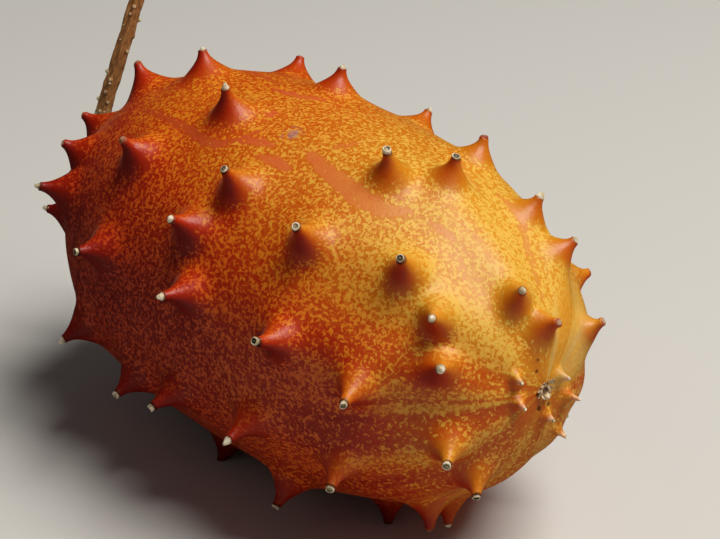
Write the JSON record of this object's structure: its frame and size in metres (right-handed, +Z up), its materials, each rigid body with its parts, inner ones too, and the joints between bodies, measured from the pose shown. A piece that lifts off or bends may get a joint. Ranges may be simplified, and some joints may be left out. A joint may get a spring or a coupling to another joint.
{
  "type": "horned melon",
  "caption": "Whole horned melon lying on the tips of its lowest horns: an oval ribbed body covered in blunt horns, with a curved cut stem and a dried blossom scar.",
  "frame": {"origin": "on the surface that the fruit lies on, at the centre of the box round the fruit, its stem and its horns", "axes": "+X along the fruit from the stem end to the blossom end, +Z up"},
  "size_m": [0.1353, 0.0803, 0.0773],
  "materials": {
    "rind": "smooth waxy rind, orange-red with fine yellow flecks",
    "stem": "dry, rough and finely ribbed",
    "scar": "dry corky crust"
  },
  "bodies": {
    "root": {"fruit": "rind", "stem": "stem", "blossom_scar": "scar"}
  },
  "joints": []
}
